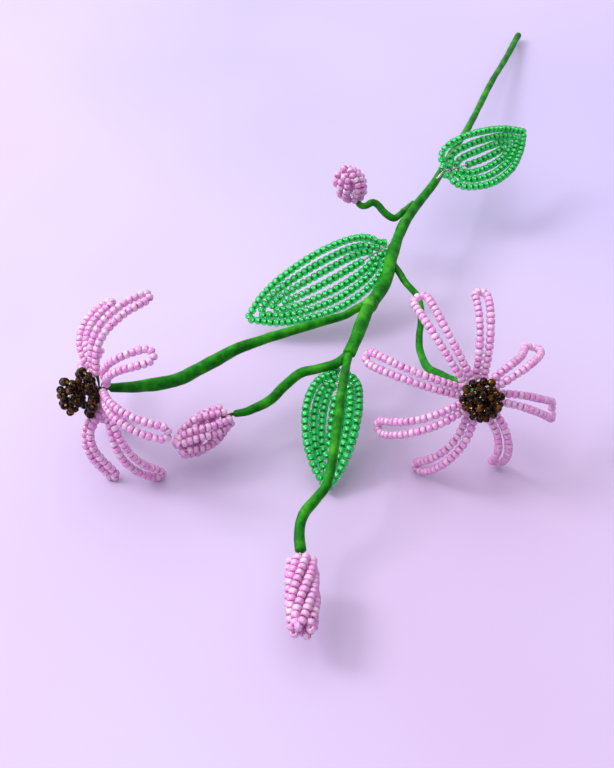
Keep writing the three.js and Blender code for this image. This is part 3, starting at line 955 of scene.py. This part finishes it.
def leafRound(leaf, look, number):
    inside = leafRows["rounds"] - number
    first = leafRows["footGap"] + inside * leafRows["footStep"]
    last = leaf.length - inside * leafRows["tipStep"] - leafRows["strand"] / 2
    reach = leafRows["spread"] * number * leafRows["pitch"] * look["width"]
    fine = 50
    edge = interpolate_bezier(Vector((first, leafRows["footGap"])),
                              Vector((first + look["shoulder"] * reach, reach)),
                              Vector((last - leafRows["tipLean"] * reach, reach)),
                              Vector((last - leafRows["tipGap"], leafRows["tipGap"])), fine + 1)
    outline = [edge[round(t * fine)] for t in (0, 0.14, 0.3, 0.5, 0.7, 0.86, 1)]
    # the last bead of a row is tight against the spine
    heel = (first - leafRows["heel"], leafRows["heelHug"] * beadSizes["greenGlass"]["wide"])
    points = [leaf.spot(*heel)] + [leaf.spot(p.x, p.y) for p in outline] + [leaf.spot(last, 0)]
    points += [leaf.spot(p.x, -p.y) for p in reversed(outline)] + [leaf.spot(heel[0], -heel[1])]
    return smoothPath([place(point) for point in points])


for name, look in leaves.items():
    leaf = LeafFrame(**look)
    rowStart = leafRows["footGap"] + leafRows["rounds"] * leafRows["footStep"]
    rowEnd = leaf.length - leafRows["rounds"] * leafRows["tipStep"] - leafRows["strand"] / 2
    row = [place(leaf.spot(mix(rowStart, rowEnd, share), 0)) for share in (0, 0.33, 0.67, 1)]
    piece = stringBeads(name + "_centre_row_beads", [smoothPath(row)], "greenGlass")
    finishPiece(piece, "green_beads", name + "_centre_row")
    stemSide = place(look["stem"])
    foot = place(leaf.spot(0.4, 0))
    wires = bmesh.new()
    spine = [stemSide, foot] + [place(leaf.spot(distance, 0)) for distance in (3, 6, rowStart + 0.6)]
    addTwist(wires, smoothPath(spine), 0.2 * mm, 2, 0.17 * mm, 1.6 * mm)
    for number in range(1, leafRows["rounds"] + 1):
        path = leafRound(leaf, look, number)
        piece = stringBeads(f"{name}_round_{number}_beads", [path], "greenGlass")
        finishPiece(piece, "green_beads", f"{name}_round_{number}")
        for end in (path[0], path[-1]):
            addTail(wires, end, mix(end, foot, 0.75), mix(foot, stemSide, 0.8))
    finishPiece(shapeToPiece(wires, name + "_wires", silverWire), "wire", name + "_wire")
print("leaves ready")


buds = {
    "back_bud": {"foot": (4.3, -4.2, 23.8), "tip": (0.4, -5.2, 32.6), "belly": 4, "twist": 75,
                 "stemEnd": (4.7, -4.9, 22.2)},
    "front_bud": {"foot": (-11.2, -127.4, 10.3), "tip": (-10.9, -145.4, 9.6), "belly": 2.9, "twist": 120,
                  "stemEnd": (-11.4, -124.6, 10.3)},
    "left_bud": {"foot": (-30.9, -82.9, 11.6), "tip": (-42.6, -91.5, 7.6), "belly": 3.8, "twist": 95,
                 "stemEnd": (-28.9, -82.3, 11.5)},
}
budShape = {"strand": 1.7, "ring": 2.5, "pinch": 0.5, "half": 0.95, "spread": 0.2, "roundFrom": 0.86,
            "loops": 4}


def budPath(look, number):
    foot = Vector(look["foot"])
    axis = Vector(look["tip"]) - foot
    length = axis.length - budShape["strand"] / 2
    axis.normalize()
    level = unit(Vector((-axis.y, axis.x, 0)))
    lifted = axis.cross(level)

    def ring(angle):
        return level * math.cos(math.radians(angle)) + lifted * math.sin(math.radians(angle))

    def angleAt(t):
        return 360 / budShape["loops"] * number + look["twist"] * t

    def middle(t):
        swell = (look["belly"] - budShape["ring"]) * math.sin(math.pi * min(1, 1.05 * t))
        radius = budShape["ring"] + swell - budShape["pinch"] * t ** 6
        return foot + axis * length * t + ring(angleAt(t)) * radius

    points = loopPoints(middle, lambda t: ring(angleAt(t) + 90),
                        lambda t: budShape["half"] + budShape["spread"] * math.sin(math.pi * t),
                        loopStations, budShape["roundFrom"])
    return smoothPath([place(point) for point in points])


for name, look in buds.items():
    tails = bmesh.new()
    stemEnd = place(look["stemEnd"])
    foot = Vector(look["foot"])
    tip = Vector(look["tip"])
    knot = place(mix(foot, tip, 0.06))
    row = smoothPath([place(mix(foot, tip, share)) for share in (0.3, 0.45, 0.6, 0.78)])
    piece = stringBeads(name + "_centre_row_beads", [row], "pinkGlass", wobble=0.3)
    finishPiece(piece, "pink_beads", name + "_centre_row")
    for number in range(1, budShape["loops"] + 1):
        path = budPath(look, number)
        piece = stringBeads(f"{name}_loop_{number}_beads", [path], "pinkGlass", wobble=0.14)
        finishPiece(piece, "pink_beads", f"{name}_loop_{number}")
        for end in (path[0], path[-1]):
            addTail(tails, end, mix(end, knot, 0.7), mix(knot, stemEnd, 0.9))
    addTwist(tails, [stemEnd, knot], 0.3 * mm, 3, 0.2 * mm, 1.6 * mm)
    wire = darkWire if name == "left_bud" else silverWire
    finishPiece(shapeToPiece(tails, name + "_wire_tails", wire), "wire", name + "_neck")
print("buds ready")

for bead in beads.values():
    bpy.data.objects.remove(bead)


def makeTable():
    half = table["size"] / 2
    mesh = bpy.data.meshes.new("tableTop")
    corners = [(-half, -half, 0), (half, -half, 0), (half, half, 0), (-half, half, 0)]
    mesh.from_pydata(corners, [], [(0, 1, 2, 3)])
    mesh.materials.append(tableTop)
    top = bpy.data.objects.new("tableTop", mesh)
    bpy.context.scene.collection.objects.link(top)


makeTable()
